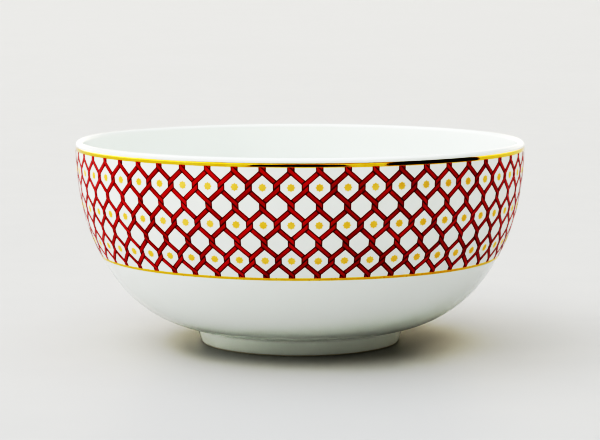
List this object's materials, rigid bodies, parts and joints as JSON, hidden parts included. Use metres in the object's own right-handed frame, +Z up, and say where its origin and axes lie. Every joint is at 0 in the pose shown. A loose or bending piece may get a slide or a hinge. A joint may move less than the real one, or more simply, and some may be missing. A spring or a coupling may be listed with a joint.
{
  "type": "porcelain bowl",
  "caption": "Round white bone china bowl on a foot ring, with a printed red lattice and gilt stars outside between a gilt lip and a gilt line.",
  "frame": {"origin": "centre of the foot's face on the table, on the bowl's axis", "axes": "+Z up along the bowl's axis; -Y faces the viewer; the bowl is a body of revolution"},
  "size_m": [0.1502, 0.1502, 0.068],
  "materials": {
    "china": "fired bone china, covered by the glaze",
    "bare_china": "bare fired bone china, sanded smooth",
    "glaze": "clear high-gloss glaze over white bone china",
    "red_enamel": "glossy red on-glaze enamel print with dark maroon outlines",
    "gilding": "polished bright gold, a fired film"
  },
  "bodies": {
    "root": {"china_body": "china", "foot_ring": "bare_china", "glaze_coat": "glaze", "underside_glaze": "glaze", "lattice_print": "red_enamel", "star_gilding": "gilding", "lip_gilding": "gilding", "gilt_line": "gilding"}
  },
  "joints": []
}
